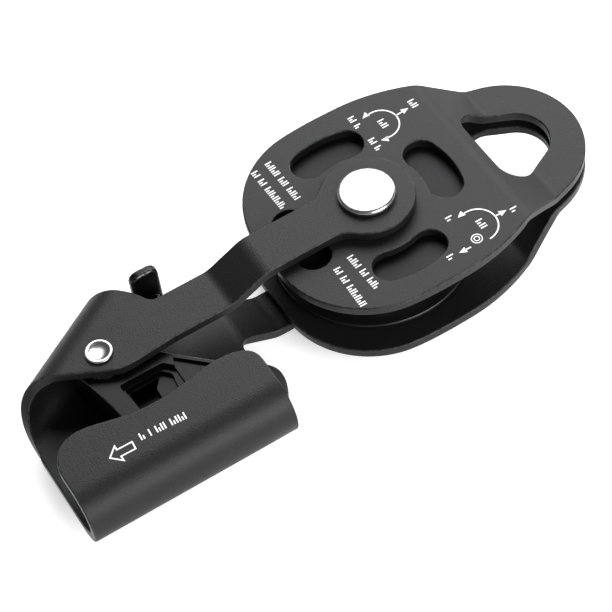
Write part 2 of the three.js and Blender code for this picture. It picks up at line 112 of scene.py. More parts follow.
# ---- studio ----
# A white floor just under the part, lit a little from below, a large soft box over the far side, a lower one
# in front that lights the round walls of the clamp, and a weak one on the right. The room is white and dim.
FLOOR_SIZE = 6
FLOOR_GAP = 0.0001
FLOOR_WHITE = 0.9
FLOOR_GLOW = 0.4
ROOM_LIGHT = 0.16
SOFT_BOXES = {  # direction from the part, distance, width, power
    "far_box": ((0.45, 0.55, 0.71), 1.3, 1.25, 21),
    "front_box": ((0.20, -0.83, 0.46), 1.2, 0.8, 14),
    "right_box": ((0.93, 0.30, 0.20), 1.2, 0.6, 2),
}

half = FLOOR_SIZE / 2
floor_z = cad_low.z - FLOOR_GAP
corners = [(x, y, floor_z) for x, y in ((-half, -half), (half, -half), (half, half), (-half, half))]
ground = bpy.data.meshes.new("floor")
ground.from_pydata(corners, [], [(0, 1, 2, 3)])
floor = bpy.data.objects.new("floor", ground)
bpy.context.scene.collection.objects.link(floor)
paper = bpy.data.materials.new("white_paper")
paper.use_nodes = True
paper_shader = paper.node_tree.nodes["Principled BSDF"]
paper_shader.inputs["Base Color"].default_value = (FLOOR_WHITE, FLOOR_WHITE, FLOOR_WHITE, 1)
paper_shader.inputs["Roughness"].default_value = 0.9
paper_shader.inputs["Emission Color"].default_value = (1, 1, 1, 1)
paper_shader.inputs["Emission Strength"].default_value = FLOOR_GLOW
ground.materials.append(paper)

room = bpy.data.worlds.new("white_room")
room.use_nodes = True
room.node_tree.nodes["Background"].inputs["Color"].default_value = (1, 1, 1, 1)
room.node_tree.nodes["Background"].inputs["Strength"].default_value = ROOM_LIGHT
bpy.context.scene.world = room
bpy.context.scene.view_settings.view_transform = "Standard"
bpy.context.scene.view_settings.look = "Medium High Contrast"

for name, (direction, distance, width, power) in SOFT_BOXES.items():
    lamp = bpy.data.lights.new(name, "AREA")
    lamp.size = width
    lamp.energy = power
    box = bpy.data.objects.new(name, lamp)
    direction = Vector(direction).normalized()
    box.location = AIM + distance * direction
    box.rotation_euler = direction.to_track_quat("Z", "Y").to_euler()
    bpy.context.scene.collection.objects.link(box)

# ---- cheeks ----
# Two equal cheeks blanked from 3 mm aluminium sheet and stepped inwards, so that they lie close together at
# the eye. The blanks are tumbled to round their edges, bead blasted and anodised charcoal black.
MM = 0.001
AXLE_X = sum(corner.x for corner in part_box("axle")) / 2
SHEET = 3
ROUNDING = 0.45
CHEEK_MIDDLE = 17 / 2 + SHEET / 2
HEAD_MIDDLE = 2.8 / 2 + SHEET / 2
CHEEK_STEP = (34.4, 47)
STEP_EASE = 1.6
CHEEK_CORNER = (-4.1 + 6.5j, 28.3, 103, 186)
NOSE = (45.1, 23.4, 73.9)
WINDOW_R = (17.6, 27.5)
WINDOW_HALF = 16.4
EYE_LOBE = (42.4 + 8.3j, 5.4)
EYE_TIP = (49.4, 9.7)
AXLE_HOLE = 6.05
CHARCOAL = (0.022, 0.022, 0.023)
WORN = (0.08, 0.08, 0.082)


def arc(centre, radius, start, end):
    """Points of an arc, as complex numbers, turning from one angle to another in degrees."""
    count = max(3, round(abs(end - start) / 4) + 1)
    return centre + radius * np.exp(1j * np.radians(np.linspace(start, end, count)))


def swoop(*controls):
    """Points of a Bezier curve by its start, its pull points and its end."""
    along = np.linspace(0, 1, 15)
    row = [np.full(len(along), c, complex) for c in controls]
    while len(row) > 1:
        row = [a + (b - a) * along for a, b in zip(row, row[1:])]
    return row[0]


def outline(*stretches):
    """One closed outline from points, arcs and swoops in a row, without repeated points."""
    points = np.concatenate([np.atleast_1d(np.asarray(s, complex)) for s in stretches])
    return points[abs(points - np.roll(points, 1)) > 0.02]


def stamped(loops, thickness=SHEET, edge=ROUNDING):
    """A flat blank in millimetres, centred on z = 0: the first outline less the others, with rounded edges.
    Its faces are marked as rounded edge or as cut wall."""
    curve = bpy.data.curves.new("blank", "CURVE")
    curve.dimensions = "2D"
    curve.fill_mode = "BOTH"
    curve.extrude = thickness / 2 - edge
    curve.bevel_depth = edge
    curve.bevel_resolution = 2
    curve.offset = -edge
    for loop in loops:
        spline = curve.splines.new("POLY")
        spline.points.add(len(loop) - 1)
        places = np.column_stack([loop.real, loop.imag, 0 * loop.real, np.ones(len(loop))])
        spline.points.foreach_set("co", places.ravel())
        spline.use_cyclic_u = True
    mesh = bpy.data.meshes.new_from_object(bpy.data.objects.new("blank", curve))
    blank = bmesh.new()
    blank.from_mesh(mesh)
    bmesh.ops.remove_doubles(blank, verts=blank.verts, dist=1e-3)
    bmesh.ops.recalc_face_normals(blank, faces=blank.faces)
    rounded = blank.faces.layers.float.new("rounded_edge")
    cut = blank.faces.layers.float.new("cut_wall")
    for face in blank.faces:
        upright = abs(face.normal.z)
        face[rounded] = float(0.05 < upright < 0.98)
        face[cut] = float(upright <= 0.05)
    return blank


def scored(blank, start, across, distances):
    """Cuts lines into a blank where it will bend, square to a direction, at distances from a point."""
    for distance in distances:
        spot = start + across * distance
        everything = blank.verts[:] + blank.edges[:] + blank.faces[:]
        bmesh.ops.bisect_plane(
            blank, geom=everything, dist=1e-4,
            plane_co=(spot.real, spot.imag, 0), plane_no=(across.real, across.imag, 0),
        )


def bent(blank, press):
    """Moves the points of a blank as a function of their rows of x, y and height says."""
    moved = press(np.array([v.co for v in blank.verts]))
    for vertex, place in zip(blank.verts, moved):
        vertex.co = place


def made(name, mesh, finish, evened=True):
    """A piece from a mesh in millimetres about the axle, put in its place, smoothed and given its finish."""
    bmesh.ops.triangulate(mesh, faces=[f for f in mesh.faces if len(f.verts) > 4])
    bmesh.ops.recalc_face_normals(mesh, faces=mesh.faces)
    data = bpy.data.meshes.new(name)
    mesh.to_mesh(data)
    mesh.free()
    data.transform(Matrix.Translation((AXLE_X, 0, 0)) @ Matrix.Scale(MM, 4))
    data.polygons.foreach_set("use_smooth", [True] * len(data.polygons))
    data.materials.append(finish)
    piece = bpy.data.objects.new(name, data)
    bpy.context.scene.collection.objects.link(piece)
    if evened:
        piece.modifiers.new("evened_shading", "WEIGHTED_NORMAL").keep_sharp = True
    return piece


class Wire:
    """The output of a shader node. Arithmetic on wires adds Math nodes, and node() adds any other kind."""

    def __init__(self, tree, socket):
        self.tree = tree
        self.socket = socket

    def node(self, kind, settings=None, inputs=None, output=0):
        """Adds a node: first its settings, then the values or links of its sockets, by name or number."""
        added = self.tree.nodes.new(kind)
        for name, value in (settings or {}).items():
            setattr(added, name, value)
        for key, value in (inputs or {}).items():
            names = [s.name if s.enabled else None for s in added.inputs]
            socket = added.inputs[key if isinstance(key, int) else names.index(key)]
            if isinstance(value, Wire):
                self.tree.links.new(value.socket, socket)
            else:
                socket.default_value = value
        return Wire(self.tree, added.outputs[output])

    def math(self, operation, first, second, clamped=False):
        settings = {"operation": operation, "use_clamp": clamped}
        return self.node("ShaderNodeMath", settings, {0: first, 1: second})

    def __add__(self, other):
        return self.math("ADD", self, other)

    def __sub__(self, other):
        return self.math("SUBTRACT", self, other)

    def __rsub__(self, other):
        return self.math("SUBTRACT", other, self)

    def __mul__(self, other):
        return self.math("MULTIPLY", self, other)

    __radd__ = __add__
    __rmul__ = __mul__

    def clipped(self, low, high):
        """0 below one value and 1 above the other."""
        return self.math("MULTIPLY", self - low, 1 / (high - low), clamped=True)

    def between(self, colour, other):
        """One colour where this is 0 and the other where it is 1."""
        ends = [end if isinstance(end, Wire) else (*end, 1) for end in (colour, other)]
        inputs = {"Factor": self, "A": ends[0], "B": ends[1]}
        return self.node("ShaderNodeMix", {"data_type": "RGBA"}, inputs, 2)

    def noise(self, scale, detail=2.0, stretch=(1, 1, 1)):
        """Noise at this place, with features of about 1/scale metres, drawn out where stretch is small."""
        place = self.node("ShaderNodeVectorMath", {"operation": "MULTIPLY"}, {0: self, 1: stretch})
        return self.node("ShaderNodeTexNoise", None, {"Vector": place, "Scale": scale, "Detail": detail})

    def relief(self, depth, strength=1.0):
        """A bump of this height, for the shader's Normal, in metres."""
        return self.node("ShaderNodeBump", None, {"Height": self, "Distance": depth, "Strength": strength})


def coated(name, steady, varying):
    """A material: values that are the same all over, and a function from the place on the piece to the
    wires of what varies."""
    material = bpy.data.materials.new(name)
    material.use_nodes = True
    tree = material.node_tree
    shader = tree.nodes["Principled BSDF"]
    for socket, value in steady.items():
        shader.inputs[socket].default_value = value
    place = Wire(tree, tree.nodes.new("ShaderNodeTexCoord").outputs["Object"])
    for socket, wire in varying(place).items():
        tree.links.new(wire.socket, shader.inputs[socket])
    return material


def marked(place, name):
    """1 on the faces that were marked so when the blank was cut."""
    return place.node("ShaderNodeAttribute", {"attribute_name": name}, None, 2)


def blasted(place):
    """Bead-blasted, anodised sheet: fine grain, faint clouds, brighter edges and streaked cut walls."""
    grain = place.noise(2600, 3)
    clouds = place.noise(45, 2)
    streaks = place.noise(1500, 2, (1, 1, 0.12))
    rounded = marked(place, "rounded_edge")
    cut = marked(place, "cut_wall")
    wear = rounded * place.noise(900, 3).clipped(0.38, 0.62) * 0.55
    tone = wear.between(CHARCOAL, WORN)
    speckle = (grain * 0.9 + clouds * 0.5 - 0.2).clipped(0.15, 0.95)
    colour = speckle.node("ShaderNodeMix", {"data_type": "RGBA", "blend_type": "MULTIPLY"}, {
        "Factor": 1.0, "A": tone, "B": (speckle * 0.8 + 0.6).between((0, 0, 0), (1, 1, 1)),
    }, 2)
    return {
        "Base Color": colour,
        "Roughness": grain * 0.16 + clouds * 0.06 - cut * 0.05 + 0.34,
        "Normal": (grain + cut * streaks * 0.8).relief(0.00012, 0.8),
    }


def rising(x, start, end):
    """How far a sheet has risen through an eased step of slope 1 between two places, and its slope there."""
    def ramp(t):
        eased = np.clip(t + STEP_EASE, 0, 2 * STEP_EASE)
        return eased**2 / (4 * STEP_EASE) + np.maximum(t - STEP_EASE, 0), eased / (2 * STEP_EASE)

    (first, first_slope), (last, last_slope) = ramp(x - start), ramp(x - end)
    return first - last, first_slope - last_slope


def stepped(points, middle, rise, start, end):
    """Points of a flat sheet, given by x, y and height above its middle, after a step is pressed into it."""
    slant = rise / (end - start)
    height, slope = rising(points[:, 0], start, end)
    grade = slant * slope
    square = np.sqrt(1 + grade**2)
    x = points[:, 0] - points[:, 2] * grade / square
    return np.column_stack([x, points[:, 1], middle + slant * height + points[:, 2] / square])


def step_middles(start, end, rise):
    """Where the middle of the sheet turns, when its outer face turns at start and end."""
    shift = SHEET / 2 * math.tan(math.atan2(abs(rise), end - start) / 2)
    return (start - shift, end - shift) if rise < 0 else (start + shift, end + shift)


def step_lines(start, end):
    """Distances at which a blank is scored for an eased step."""
    near = np.linspace(-STEP_EASE, STEP_EASE, 7)
    return np.concatenate([start + near, end + near])


def cheek_outline():
    nose_x, nose_r, nose_turn = NOSE
    corner = arc(*CHEEK_CORNER)
    far_side = np.concatenate([
        swoop(51.6 + 22.48j, 46.1 + 24j, 40.5 + 26.4j, 35 + 28.7j),
        swoop(35 + 28.7j, 28.6 + 32j, 20 + 34.5j, 12 + 34.9j),
        swoop(12 + 34.9j, 4.5 + 35.2j, -4.5 + 35.25j, corner[0]),
        corner,
    ])
    return outline(arc(nose_x, nose_r, -nose_turn, nose_turn), far_side, far_side[::-1].conj())


def window_outline(middle):
    """A curved slot with round ends, its middle at an angle about the axle."""
    inner, outer = WINDOW_R
    end = (outer + inner) / 2 * np.exp(1j * math.radians(WINDOW_HALF))
    end_arc = arc(end, (outer - inner) / 2, WINDOW_HALF, WINDOW_HALF + 180)
    shape = outline(
        arc(0, outer, -WINDOW_HALF, WINDOW_HALF), end_arc,
        arc(0, inner, WINDOW_HALF, -WINDOW_HALF), end_arc[::-1].conj(),
    )
    return shape * np.exp(1j * math.radians(middle))


def eye_outline():
    (lobe, lobe_r), (tip_x, tip_r) = EYE_LOBE, EYE_TIP
    to_tip = tip_x - lobe
    tangent = math.degrees(np.angle(to_tip) + math.acos((lobe_r - tip_r) / abs(to_tip)))
    return outline(
        arc(tip_x, tip_r, -tangent, tangent),
        arc(lobe, lobe_r, tangent, 180),
        arc(lobe.conjugate(), lobe_r, 180, 360 - tangent),
    )


charcoal_sheet = coated("anodised_charcoal", {"Metallic": 0.25, "Specular IOR Level": 0.36}, blasted)
cheek_turns = step_middles(*CHEEK_STEP, HEAD_MIDDLE - CHEEK_MIDDLE)
for side, sign in (("front", 1), ("rear", -1)):
    holes = [window_outline(middle) for middle in (0, 90, 180, 270)]
    cheek = stamped([cheek_outline(), *holes, eye_outline(), arc(0, AXLE_HOLE, 0, 356)])
    scored(cheek, 0j, 1 + 0j, step_lines(*cheek_turns))
    bent(cheek, lambda p: stepped(p, CHEEK_MIDDLE, HEAD_MIDDLE - CHEEK_MIDDLE, *cheek_turns) * (1, 1, sign))
    plate = made(f"{side}_cheek_plate", cheek, charcoal_sheet)
    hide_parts(f"{side}_cheek")
    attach(plate, f"{side}_cheek")

# ---- yoke ----
# One piece of the same sheet: two arms from the axle, two plates that carry the cam, joined by a slanting
# fold on the far side, and on the near side the lower plate rolled over into a rope channel with a flap.
CLAMP_MIDDLE = 6.9 + SHEET / 2
ARM_MIDDLE = 12.5 + SHEET / 2
ARM_STEP = (-48.2, -36.6)
ARM_HALF = 7.1
ARM_EYE_R = 13.6
ARM_FILLET = 8
PIN = -85.8 + 0j
PIN_HOLE = 3.5
SWEEP_R = 21.2
SWEEP_FILLET = 3
FOLD_START = -69.8 + 16.1j
FOLD_ALONG = -np.exp(1j * math.radians(30.4))
FOLD_OUT = -1j * FOLD_ALONG
FOLD_TOP_LENGTH = 32.6
FOLD_BOTTOM_LENGTH = 48.9
CHANNEL_X = (-112.3, -50.2)
CHANNEL_Y = -33.8
LOBE_END = -43.5
ROLL_LENGTH = math.pi * CLAMP_MIDDLE
ROLL_LINES = np.linspace(0, ROLL_LENGTH, 31)


def dot(points, direction):
    return (points * direction.conjugate()).real


def unfolded_top(points):
    """Where points of the finished top plate lie on the flat blank, past the fold."""
    return points + (ROLL_LENGTH - 2 * dot(points - FOLD_START, FOLD_OUT)) * FOLD_OUT


def unrolled_flap(points):
    """Where points of the finished flap lie on the flat blank, past the channel's round wall."""
    return points.conj() + 1j * (2 * CHANNEL_Y - ROLL_LENGTH)


def rolled(x_y, height, start, outward):
    """Rolls the sheet by a half turn where it passes a line, about an axis at half the clamp's height."""
    past = dot(x_y - start, outward)
    angle = np.clip(past / CLAMP_MIDDLE, 0, math.pi)
    radius = -height
    out = np.where(past > 0, radius * np.sin(angle) - np.maximum(past - ROLL_LENGTH, 0), past)
    return x_y + (out - past) * outward, -radius * np.cos(angle)


def folded(points):
    """The flat blank, given by x, y and height above its middle, folded into the yoke."""
    x_y = points[:, 0] + 1j * points[:, 1]
    height = points[:, 2] - CLAMP_MIDDLE
    x_y, height = rolled(x_y, height, FOLD_START, FOLD_OUT)
    near = x_y.imag < CHANNEL_Y
    rolled_x_y, rolled_height = rolled(x_y, height, CHANNEL_Y * 1j, -1j)
    x_y = np.where(near, rolled_x_y, x_y)
    height = np.where(near, rolled_height, height)
    upper = np.where(height > 0, 1, -1)
    flat = np.column_stack([x_y.real, x_y.imag, abs(height) - CLAMP_MIDDLE])
    on_arm = (x_y.real > LOBE_END) | ((x_y.real > ARM_STEP[0] - 4) & (x_y.imag > -11))
    arm = stepped(flat, CLAMP_MIDDLE, ARM_MIDDLE - CLAMP_MIDDLE, *arm_turns)
    placed = np.column_stack([x_y.real, x_y.imag, abs(height)])
    placed[on_arm] = arm[on_arm]
    placed[:, 2] *= upper
    return placed


def arm_end():
    """The arm's round end with its fillets, from its near edge to its far edge."""
    far = ARM_HALF + ARM_FILLET
    fillet_x = -math.sqrt((ARM_EYE_R + ARM_FILLET) ** 2 - far**2)
    turn = math.degrees(math.atan2(far, -fillet_x))
    return np.concatenate([
        arc(fillet_x - far * 1j, ARM_FILLET, 90, turn),
        arc(0, ARM_EYE_R, 180 + turn, 540 - turn),
        arc(fillet_x + far * 1j, ARM_FILLET, -turn, -90),
    ])


def lever_sweep():
    """The far edge of both plates: a fillet at the arm, then the arc that the thumb lever clears."""
    y = ARM_HALF + SWEEP_FILLET
    reach = SWEEP_R + SWEEP_FILLET
    x = PIN.real + math.sqrt(reach**2 - y**2)
    turn = math.degrees(math.asin(y / reach))
    past = dot(PIN - FOLD_START, FOLD_OUT)
    last = np.angle(FOLD_OUT, deg=True) - math.degrees(math.acos(-past / SWEEP_R))
    return np.concatenate([arc(x + y * 1j, SWEEP_FILLET, -90, turn - 180), arc(PIN, SWEEP_R, turn, last)])


def fold_far_end():
    """The end of the fold on the blank, which lies on the lever's sweep once it is folded."""
    distances = np.linspace(0, ROLL_LENGTH, 25)
    out = CLAMP_MIDDLE * np.sin(distances / CLAMP_MIDDLE) - dot(PIN - FOLD_START, FOLD_OUT)
    along = dot(PIN - FOLD_START, FOLD_ALONG) - np.sqrt(SWEEP_R**2 - out**2)
    return FOLD_START + along * FOLD_ALONG + distances * FOLD_OUT


def yoke_outline():
    left, right = CHANNEL_X
    fold_bottom = FOLD_START + FOLD_BOTTOM_LENGTH * FOLD_ALONG
    fold_top = FOLD_START + FOLD_TOP_LENGTH * FOLD_ALONG
    top_near_edge = np.concatenate([
        swoop(-66 - 7.1j, -74 - 7.7j, -80 - 8j),
        swoop(-80 - 8j, -83.2 - 8.2j, -86.5 - 6.5j),
        [fold_top],
    ])
    flap_edge = np.concatenate([
        swoop(-103 - 18.6j, -108.5 - 18.6j, left - 23.5j, left - 28.5j)[::-1],
        swoop(-82 - 22.3j, -91 - 22.3j, -97 - 18.6j, -103 - 18.6j)[::-1],
        swoop(-60.5 - 20j, -68 - 20j, -72 - 22.3j, -82 - 22.3j)[::-1],
        swoop(right - 27j, right - 21.5j, -55 - 20j, -60.5 - 20j)[::-1],
    ])
    lobe = np.concatenate([
        swoop(right - 34.1j, -46.5 - 31.5j, -43.9 - 27.5j, -43.9 - 23j),
        swoop(-43.9 - 23j, -43.9 - 18.5j, -48.6 - 17.5j, -48.6 - 12j),
        swoop(-48.6 - 12j, -48.6 - 8.8j, -48 - 7.1j, -45 - 7.1j),
    ])
    return outline(
        arm_end(), lever_sweep(), fold_far_end(),
        unfolded_top(np.concatenate([lever_sweep()[::-1], arm_end()[::-1], top_near_edge])),
        swoop(fold_bottom, left - 8.7j, left - 12j),
        unrolled_flap(flap_edge),
        right + CHANNEL_Y * 1j - 1j * ROLL_LENGTH, right + CHANNEL_Y * 1j, lobe,
    )


arm_turns = step_middles(*ARM_STEP, ARM_MIDDLE - CLAMP_MIDDLE)
eyes = [arc(0, AXLE_HOLE, 0, 356), unfolded_top(arc(0, AXLE_HOLE, 0, 356))]
pin_holes = [arc(PIN, PIN_HOLE, 0, 352), unfolded_top(arc(PIN, PIN_HOLE, 0, 352))]
yoke = stamped([yoke_outline(), *eyes, *pin_holes])
scored(yoke, FOLD_START, FOLD_OUT, ROLL_LINES)
scored(yoke, CHANNEL_Y * 1j, -1j, ROLL_LINES)
scored(yoke, 0j, 1 + 0j, step_lines(*arm_turns))
top_axle, top_along = unfolded_top(np.array([0j, 1 + 0j]))
scored(yoke, top_axle, top_along - top_axle, step_lines(*arm_turns))
bent(yoke, folded)
yoke_piece = made("yoke_sheet", yoke, charcoal_sheet)
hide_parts("yoke_frame")
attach(yoke_piece, "yoke")

# ---- wheel ----
# A grooved wheel turned from aluminium bar and hard anodised. The groove is left smooth for the rope, and
# its flanks keep faint rings from the turning tool. It is pressed onto the outer race of the bearing.
WHEEL_R = 28.8
WHEEL_HALF = 7.9
TREAD_R = 20.8
GROOVE_HALF = 6.8
RIM_EASE = 0.5
WHEEL_BORE = 16.05
WHEEL_STOP_R = 14.2
BEARING_HALF = 5.05
CLIP_GROOVE = (5.1, 6.3)
CLIP_DEPTH = 0.8
GROOVE_FULLNESS = 0.8
WHEEL_BLACK = (0.035, 0.035, 0.036)
RUBBED_BLACK = (0.10, 0.10, 0.103)
FLANK_BLACK = (0.026, 0.026, 0.027)


def turned(profile, segments=128, centre=0j):
    """A closed profile, of radius + height * j, turned about an upright axis."""
    mesh = bmesh.new()
    spokes = np.exp(2j * math.pi * np.arange(segments) / segments)
    rings = []
    for point in profile:
        if point.real < 1e-4:
            rings.append([mesh.verts.new((centre.real, centre.imag, point.imag))] * segments)
            continue
        around = centre + point.real * spokes
        rings.append([mesh.verts.new((p.real, p.imag, point.imag)) for p in around])
    for ring, following in zip(rings, rings[1:] + rings[:1]):
        for i in range(segments):
            corners = dict.fromkeys([ring[i - 1], ring[i], following[i], following[i - 1]])
            if len(corners) > 2:
                mesh.faces.new(corners)
    return mesh


def radius_at(place, centre=0j):
    """The distance from an upright axis, at a place in metres."""
    middle = (AXLE_X + centre.real * MM, centre.imag * MM, 0)
    flat = place.node("ShaderNodeVectorMath", {"operation": "MULTIPLY"}, {0: place, 1: (1, 1, 0)})
    spoke = place.node("ShaderNodeVectorMath", {"operation": "SUBTRACT"}, {0: flat, 1: middle})
    return place.node("ShaderNodeVectorMath", {"operation": "LENGTH"}, {0: spoke}, 1)


def tool_rings(place, scale, centre=0j):
    """Fine uneven rings, as a turning tool leaves them."""
    inputs = {"W": radius_at(place, centre), "Scale": scale, "Detail": 3.0}
    return place.node("ShaderNodeTexNoise", {"noise_dimensions": "1D"}, inputs)


def hard_black(place):
    """Smooth hard-anodised turnings: dark, half shiny, with faint rings and a few rubbed places."""
    rings = tool_rings(place, 5200)
    rubbed = place.noise(120, 3).clipped(0.52, 0.75)
    height = place.node("ShaderNodeSeparateXYZ", None, {0: place}, 2)
    flank = height.math("ABSOLUTE", height, 0).clipped((WHEEL_HALF - 0.5) * MM, (WHEEL_HALF - 0.1) * MM)
    groove_black = (rings * 0.5 + rubbed * 0.35).clipped(0.1, 1.1).between(WHEEL_BLACK, RUBBED_BLACK)
    return {
        "Base Color": flank.between(groove_black, FLANK_BLACK),
        "Roughness": rings * 0.14 + place.noise(2200, 2) * 0.08 + flank * 0.16 + 0.22,
        "Normal": rings.relief(0.00004, 0.35),
    }


turns = np.linspace(0, math.pi, 33)
rim = WHEEL_R - RIM_EASE
groove = rim - (rim - TREAD_R) * np.sin(turns) ** GROOVE_FULLNESS + 1j * GROOVE_HALF * np.cos(turns)
clip_low, clip_high = (1j * height for height in CLIP_GROOVE)
bore_side = outline(
    [WHEEL_BORE + 1j * WHEEL_HALF, WHEEL_BORE + clip_high, WHEEL_BORE + CLIP_DEPTH + clip_high],
    [WHEEL_BORE + CLIP_DEPTH + clip_low, WHEEL_BORE + clip_low, WHEEL_BORE - 1j * BEARING_HALF],
    [WHEEL_STOP_R - 1j * BEARING_HALF, WHEEL_STOP_R - 1j * WHEEL_HALF],
)
lower_rim = swoop(rim - 1j * WHEEL_HALF, WHEEL_R - 1j * WHEEL_HALF, WHEEL_R - 7.35j, rim - 1j * GROOVE_HALF)
wheel_profile = outline(bore_side, lower_rim[::2], groove[::-1][1:-1], lower_rim[::-2].conj())
wheel_finish = coated("hard_black", {"Metallic": 0.8}, hard_black)
wheel = made("grooved_wheel", turned(wheel_profile, 192), wheel_finish)
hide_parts("sheave")
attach(wheel, "wheel")

# ---- axle ----
# A turned steel axle with a broad flat head on the front arm. Its other end is riveted into a cap of the
# same size behind the rear arm. Both faces are polished, with a chamfer round them.
AXLE_SHANK = 6
AXLE_SPIGOT = 4
HEAD_CHAMFER = 0.6
HEAD_DISH = 0.12
HEAD_FOOT = (0.25, 0.3)
CAP_CLEARANCE = 0.05
STEEL = (0.36, 0.36, 0.365)
BRIGHT_STEEL = (0.50, 0.50, 0.505)
ARM_FACE = ARM_MIDDLE + SHEET / 2


def polished(centre):
    """Polished steel with the rings of its turning and a few fine scratches."""
    def varying(place):
        rings = tool_rings(place, 7000, centre)
        scratches = place.noise(900, 4, (1, 0.15, 1)).clipped(0.6, 0.72)
        return {
            "Base Color": (rings * 0.8 + scratches * 0.3).clipped(0.1, 0.9).between(BRIGHT_STEEL, STEEL),
            "Roughness": rings * 0.12 + scratches * 0.10 + 0.22,
            "Normal": (rings * 0.6 + scratches * 0.4).relief(0.00002, 0.4),
        }
    return varying


polished_steel = coated("polished_steel", {"Metallic": 1.0}, polished(0j))
head_low, head_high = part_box("axle")
head_r = (head_high.x - head_low.x) / 2 / MM
head_top = head_high.z / MM
foot_in, foot_up = HEAD_FOOT
head_side = [
    1j * (head_top - HEAD_DISH), head_r - 1.3 + 1j * head_top, head_r - HEAD_CHAMFER + 1j * head_top,
    head_r + 1j * (head_top - HEAD_CHAMFER), head_r + 1j * (ARM_FACE + foot_up),
    head_r - foot_in + 1j * ARM_FACE,
]
shank = [AXLE_SHANK + 1j * ARM_FACE, AXLE_SHANK - 1j * ARM_FACE, AXLE_SPIGOT - 1j * ARM_FACE]
spigot = [AXLE_SPIGOT - 1j * (head_top - 0.3), AXLE_SPIGOT - 0.4 - 1j * head_top, -1j * (head_top - 0.5)]
axle = made("axle_pin", turned(outline(head_side, shank, spigot), 160), polished_steel)
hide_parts("axle")
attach(axle, body_of(frame["nodes"]["axle"])[0])
cap_bore = AXLE_SPIGOT + CAP_CLEARANCE
cap_profile = np.array([
    cap_bore - 1j * (ARM_FACE + CAP_CLEARANCE), cap_bore - 1j * (head_top - 0.4),
    cap_bore + 0.5 - 1j * head_top,
    head_r - HEAD_CHAMFER - 1j * head_top, head_r - 1j * (head_top - HEAD_CHAMFER),
    head_r - 1j * (ARM_FACE + foot_up), head_r - foot_in - 1j * (ARM_FACE + CAP_CLEARANCE),
])
cap = made("axle_cap", turned(cap_profile, 160), polished_steel)
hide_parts("axle_end_cap")
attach(cap, body_of(frame["nodes"]["axle_end_cap"])[0])

# ---- washers and bearing ----
# Nylon washers between the arms and the cheeks and bronze spacers beside the bearing, all turned with eased
# edges. The ball bearing, its shields and circlip, and the cam's bush and spring keep their CAD shapes.
WASHER_EASE = 0.2
NYLON = (0.02, 0.02, 0.02)
PALE_NYLON = (0.035, 0.035, 0.036)
BRONZE = (0.45, 0.29, 0.13)
DULL_BRONZE = (0.33, 0.20, 0.09)
BEARING_STEEL = (0.50, 0.50, 0.51)
DULL_STEEL = (0.38, 0.38, 0.40)


def eased(corners, cut):
    """A closed outline with its corners rounded, starting a given distance before each."""
    stretches = []
    for before, corner, after in zip(np.roll(corners, 1), corners, np.roll(corners, -1)):
        back, on = before - corner, after - corner
        reach = min(cut, 0.45 * abs(back), 0.45 * abs(on))
        stretches.append(swoop(corner + reach * back / abs(back), corner, corner + reach * on / abs(on))[::4])
    return outline(*stretches)


def worn_metal(colour, other, scale):
    """A machined metal with tool rings and a mottled oxide."""
    def varying(place):
        rings = tool_rings(place, 4200)
        mottle = place.noise(scale, 3)
        return {
            "Base Color": (mottle * 0.7 + rings * 0.3).clipped(0.3, 0.7).between(colour, other),
            "Roughness": mottle * 0.2 + rings * 0.1 + 0.2,
            "Normal": (rings * 0.5 + mottle * 0.5).relief(0.00003, 0.4),
        }
    return varying


def moulded(place):
    """Moulded nylon with a fine spark-eroded grain."""
    grain = place.noise(3800, 3)
    return {
        "Base Color": grain.clipped(0.3, 0.7).between(NYLON, PALE_NYLON),
        "Roughness": grain * 0.2 + 0.42,
        "Normal": grain.relief(0.00005, 0.5),
    }


nylon = coated("black_nylon", {"Metallic": 0.0}, moulded)
bronze = coated("bearing_bronze", {"Metallic": 1.0}, worn_metal(BRONZE, DULL_BRONZE, 700))
race_steel = coated("bearing_steel", {"Metallic": 1.0}, worn_metal(BEARING_STEEL, DULL_STEEL, 500))
for node, finish, slot in (
    ("front_arm_washer", nylon, "black_nylon"), ("rear_arm_washer", nylon, "black_nylon"),
    ("front_spacer", bronze, "bronze"), ("rear_spacer", bronze, "bronze"),
):
    low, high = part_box(node)
    outer = (high.x - low.x) / 2 / MM
    corners = np.array([
        AXLE_HOLE + 1j * low.z / MM, outer + 1j * low.z / MM,
        outer + 1j * high.z / MM, AXLE_HOLE + 1j * high.z / MM,
    ])
    ring = made(f"{node}_ring", turned(eased(corners, WASHER_EASE), 112), finish)
    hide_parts(node)
    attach(ring, body_of(frame["nodes"][node])[0])
for node, part in frame["nodes"].items():
    if node.startswith("bearing_") or node.endswith("_shield") or node in ("cam_bush", "cam_spring"):
        part.data.materials.clear()
        part.data.materials.append(bronze if node in ("bearing_cage", "cam_bush") else race_steel)

# ---- cam ----
# A sprung cam of blackened cast steel between the yoke's plates, on a riveted pin. Its toothed edge presses
# the rope against the channel's wall, and its front face has a stepped pocket and a lowered nose.
CAM_TOP = 6.4
CAM_HUB_R = 7.9
CAM_BORE_R = 4.65
CAM_REACH = 40.6
CAM_SPIRAL = math.tan(math.radians(30))
CAM_TEETH = (94, 55, 13)
TOOTH_DEPTH = 0.9
TOOTH_SLANT = 0.8
HUB_ANGLES = (25, 200)
POCKET_FLOORS = (4.6, 3.2, -1.5)
NOSE_TOP = 5.4
SEAT_R = 6.9
SEAT_TOP = -1.4
SPRING_EXIT = (5, 10, 36, 88)
SPRING_EXIT_TOP = -4.9
SOFTENING = 0.00022
BLACKED = (0.012, 0.012, 0.0125)
RUBBED_STEEL_AND_HIGHLIGHT = (0.10, 0.10, 0.103)


def spiral(degrees, depth=0.0):
    """A point of the toothed edge, by its angle below the X axis."""
    reach = CAM_REACH * math.exp(-CAM_SPIRAL * math.radians(degrees - 60)) - depth
    return reach * np.exp(-1j * math.radians(degrees))


